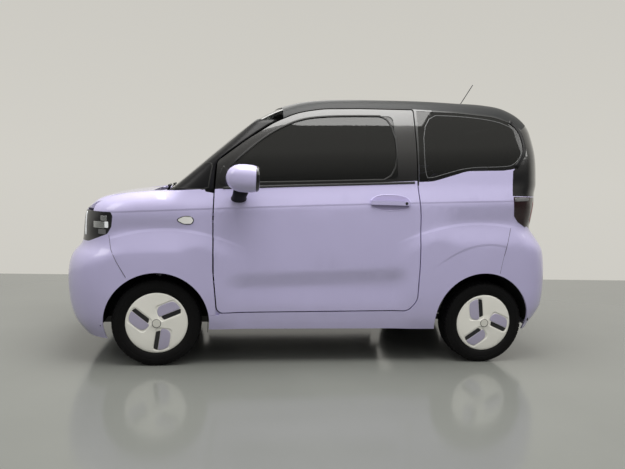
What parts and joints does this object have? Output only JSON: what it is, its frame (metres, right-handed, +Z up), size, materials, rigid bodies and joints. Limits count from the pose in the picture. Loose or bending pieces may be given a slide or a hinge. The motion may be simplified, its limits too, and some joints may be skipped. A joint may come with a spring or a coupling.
{
  "type": "small electric city car",
  "caption": "Short upright three-door city car with flared arches, hatch tailgate, hinged doors and bonnet, steered front wheels and disc-like wheel covers.",
  "frame": {"origin": "on the ground, halfway along and halfway across the body", "axes": "+X forward, +Y to the car's left, +Z up"},
  "size_m": [2.9799, 1.85, 1.7964],
  "materials": {
    "body_paint": "pastel lavender gloss paint",
    "roof_paint": "dark grey gloss paint",
    "gloss_black": "gloss black",
    "tinted_glass": "dark tinted glass",
    "lamp_lens": "clear lens",
    "lamp_red": "dark red lens",
    "black_plastic": "matt black",
    "underbody": "black coated steel",
    "cast": "dark cast",
    "alloy": "cast alloy",
    "steel": "painted steel rim",
    "tyre": "black rubber",
    "cover_cream": "cream white with lavender insets",
    "seat_cloth": "dark grey cloth"
  },
  "bodies": {
    "car": {"side_left": "body_paint", "side_right": "body_paint", "quarter_glass": "tinted_glass", "pillar_trims": "gloss_black", "fender_left": "body_paint", "fender_right": "body_paint", "front_bumper": "body_paint", "rear_bumper": "body_paint", "headlamps": "lamp_lens", "tail_lamps": "lamp_red", "roof": "roof_paint", "windscreen": "tinted_glass", "floor_pan": "underbody", "wheelhouse_liners": "black_plastic", "seat_bases": "underbody", "front_suspension": "underbody", "rear_axle": "cast", "drive_motor": "alloy", "battery_pack": "alloy", "dashboard": "black_plastic", "seat_left": "seat_cloth", "seat_right": "seat_cloth", "rear_seat": "seat_cloth", "antenna": "black_plastic", "cowl_panel": "black_plastic", "wipers": "black_plastic", "side_repeaters": "lamp_lens"},
    "door_left": {"door_left": "body_paint", "door_glass_left": "tinted_glass", "mirror_left": "body_paint", "handle_left": "body_paint"},
    "door_right": {"door_right": "body_paint", "door_glass_right": "tinted_glass", "mirror_right": "body_paint", "handle_right": "body_paint"},
    "bonnet": {"bonnet": "body_paint"},
    "tailgate": {"tailgate": "gloss_black", "tailgate_glass": "tinted_glass"},
    "knuckle_left": {"knuckle_left": "cast"},
    "knuckle_right": {"knuckle_right": "cast"},
    "steering_wheel": {"steering_wheel": "black_plastic"},
    "wheel_front_left": {"tyre_front_left": "tyre", "rim_front_left": "steel", "wheel_cover_front_left": "cover_cream"},
    "wheel_front_right": {"tyre_front_right": "tyre", "rim_front_right": "steel", "wheel_cover_front_right": "cover_cream"},
    "wheel_rear_left": {"tyre_rear_left": "tyre", "rim_rear_left": "steel", "wheel_cover_rear_left": "cover_cream"},
    "wheel_rear_right": {"tyre_rear_right": "tyre", "rim_rear_right": "steel", "wheel_cover_rear_right": "cover_cream"}
  },
  "joints": [
    {"name": "steer_left", "type": "hinge", "parent": "car", "child": "knuckle_left", "pos_m": [0.941, 0.57, 0.25], "axis": [0, -0.165, 0.9863], "range_deg": [-32, 32]},
    {"name": "steer_right", "type": "hinge", "parent": "car", "child": "knuckle_right", "pos_m": [0.941, -0.57, 0.25], "axis": [0, 0.165, 0.9863], "range_deg": [-32, 32]},
    {"name": "steering_wheel_turn", "type": "hinge", "parent": "car", "child": "steering_wheel", "pos_m": [0.33, 0.33, 0.85], "axis": [-0.9063, 0, 0.4226], "range_deg": [-480, 480]},
    {"name": "door_left_swing", "type": "hinge", "parent": "car", "child": "door_left", "pos_m": [0.672, 0.706, 0.7], "axis": [0, 0, -1], "range_deg": [0, 65]},
    {"name": "door_right_swing", "type": "hinge", "parent": "car", "child": "door_right", "pos_m": [0.672, -0.706, 0.7], "axis": [0, 0, 1], "range_deg": [0, 65]},
    {"name": "bonnet_lift", "type": "hinge", "parent": "car", "child": "bonnet", "pos_m": [0.996, 0, 0.966], "axis": [0, -1, 0], "range_deg": [0, 50]},
    {"name": "tailgate_lift", "type": "hinge", "parent": "car", "child": "tailgate", "pos_m": [-1.2629, 0, 1.5251], "axis": [0, 1, 0], "range_deg": [0, 75]},
    {"name": "front_left_wheel_spin", "type": "hinge", "parent": "knuckle_left", "child": "wheel_front_left", "pos_m": [0.941, 0.645, 0.25], "axis": [0, 1, 0], "continuous": true},
    {"name": "front_right_wheel_spin", "type": "hinge", "parent": "knuckle_right", "child": "wheel_front_right", "pos_m": [0.941, -0.645, 0.25], "axis": [0, 1, 0], "continuous": true},
    {"name": "rear_left_wheel_spin", "type": "hinge", "parent": "car", "child": "wheel_rear_left", "pos_m": [-1.019, 0.645, 0.25], "axis": [0, 1, 0], "continuous": true},
    {"name": "rear_right_wheel_spin", "type": "hinge", "parent": "car", "child": "wheel_rear_right", "pos_m": [-1.019, -0.645, 0.25], "axis": [0, 1, 0], "continuous": true}
  ],
  "couplings": [
    {"joint": "steer_right", "follows": "steer_left", "ratio": 1},
    {"joint": "steering_wheel_turn", "follows": "steer_left", "ratio": 15}
  ]
}
